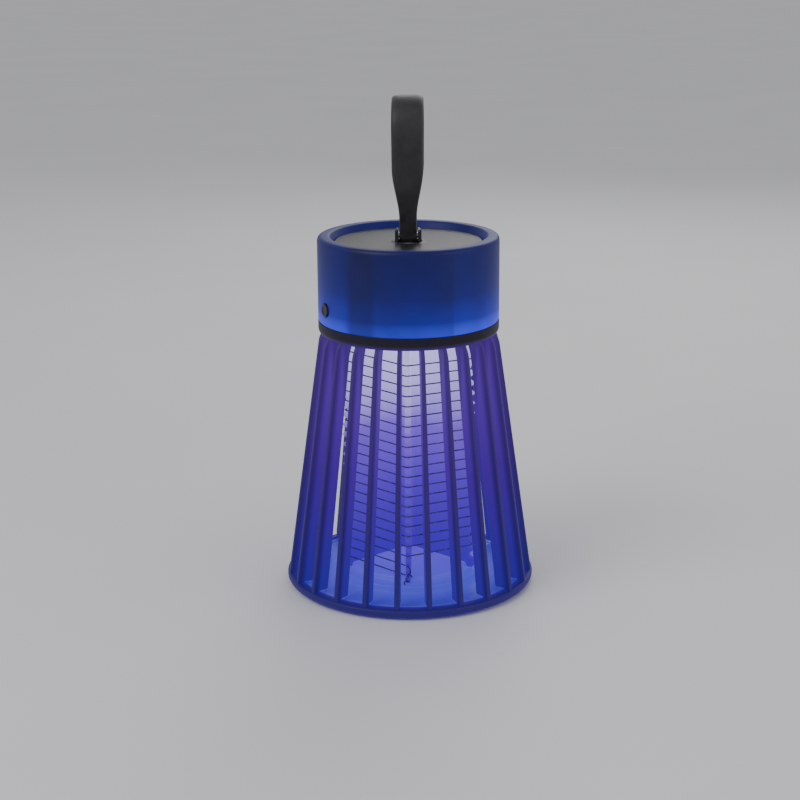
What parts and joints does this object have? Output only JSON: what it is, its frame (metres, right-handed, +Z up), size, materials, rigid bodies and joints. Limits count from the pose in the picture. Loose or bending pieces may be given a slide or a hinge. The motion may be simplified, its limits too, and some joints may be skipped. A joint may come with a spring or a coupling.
{
  "type": "electric bug zapper",
  "caption": "Portable cordless ultraviolet insect killer: a finned skirt round a wired star-shaped cage, a twist-off tray, a frosted lamp housing and a standing strap.",
  "frame": {"origin": "centre of the base, on the plane that the feet stand on", "axes": "+Z up through the round body to the strap, -Y is the front, towards a gap between two fins"},
  "size_m": [0.12, 0.12, 0.235],
  "materials": {
    "skirt_plastic": "fine moulded satin, dark indigo",
    "white_plastic": "smooth moulded white",
    "frosted_plastic": "frosted translucent",
    "black_plastic": "fine texture, black",
    "strap_rubber": "soft black silicone",
    "foot_rubber": "matt black",
    "grid_wire": "drawn stainless wire",
    "led_lens": "clear violet epoxy",
    "circuit_board": "green solder mask",
    "steel": "zinc-plated",
    "tin": "tinned sheet",
    "cell_sleeve": "shrink sleeve",
    "winding": "enamelled copper and yellow tape",
    "capacitor_body": "dipped epoxy"
  },
  "bodies": {
    "housing": {"skirt_base_ring": "skirt_plastic", "skirt_top_collar": "skirt_plastic", "skirt_fin_01": "skirt_plastic", "skirt_fin_02": "skirt_plastic", "skirt_fin_03": "skirt_plastic", "skirt_fin_04": "skirt_plastic", "skirt_fin_05": "skirt_plastic", "skirt_fin_06": "skirt_plastic", "skirt_fin_07": "skirt_plastic", "skirt_fin_08": "skirt_plastic", "skirt_fin_09": "skirt_plastic", "skirt_fin_10": "skirt_plastic", "skirt_fin_11": "skirt_plastic", "skirt_fin_12": "skirt_plastic", "skirt_fin_13": "skirt_plastic", "skirt_fin_14": "skirt_plastic", "skirt_fin_15": "skirt_plastic", "skirt_fin_16": "skirt_plastic", "skirt_fin_17": "skirt_plastic", "skirt_fin_18": "skirt_plastic", "skirt_fin_19": "skirt_plastic", "skirt_fin_20": "skirt_plastic", "skirt_fin_21": "skirt_plastic", "skirt_fin_22": "skirt_plastic", "skirt_fin_23": "skirt_plastic", "skirt_fin_24": "skirt_plastic", "cage_frame": "white_plastic", "chassis_plate": "white_plastic", "battery_cradle": "white_plastic", "lamp_housing": "frosted_plastic", "top_plate": "black_plastic", "strap_anchor": "black_plastic", "seal_ring": "foot_rubber", "hv_wire_a": "grid_wire", "hv_wire_b": "grid_wire", "uv_led_1": "led_lens", "uv_led_2": "led_lens", "uv_led_3": "led_lens", "uv_led_4": "led_lens", "uv_led_5": "led_lens", "led_board": "circuit_board", "control_board": "circuit_board", "charge_board": "circuit_board", "strap_pin": "steel", "cage_screw": "steel", "chassis_screw_1": "steel", "chassis_screw_2": "steel", "chassis_screw_3": "steel", "tact_switch": "tin", "usb_socket": "tin", "battery_cell": "cell_sleeve", "hv_transformer": "winding", "hv_capacitor": "capacitor_body"},
    "tray": {"collection_tray": "white_plastic", "foot_1": "foot_rubber", "foot_2": "foot_rubber", "foot_3": "foot_rubber", "foot_4": "foot_rubber"},
    "button": {"power_button": "black_plastic"},
    "strap": {"hanging_strap": "strap_rubber"}
  },
  "joints": [
    {"name": "tray_twist", "type": "hinge", "parent": "housing", "child": "tray", "pos_m": [0, 0, 0.003], "axis": [0, 0, 1], "range_deg": [0, 25]},
    {"name": "button_press", "type": "slide", "parent": "housing", "child": "button", "axis": [0.8886, 0.4586, 0], "range_m": [0, 0.0008], "stiffness_N_per_m": 400},
    {"name": "strap_swing", "type": "hinge", "parent": "housing", "child": "strap", "pos_m": [0, 0, 0.1698], "axis": [1, 0, 0], "range_deg": [-68, 68]}
  ]
}
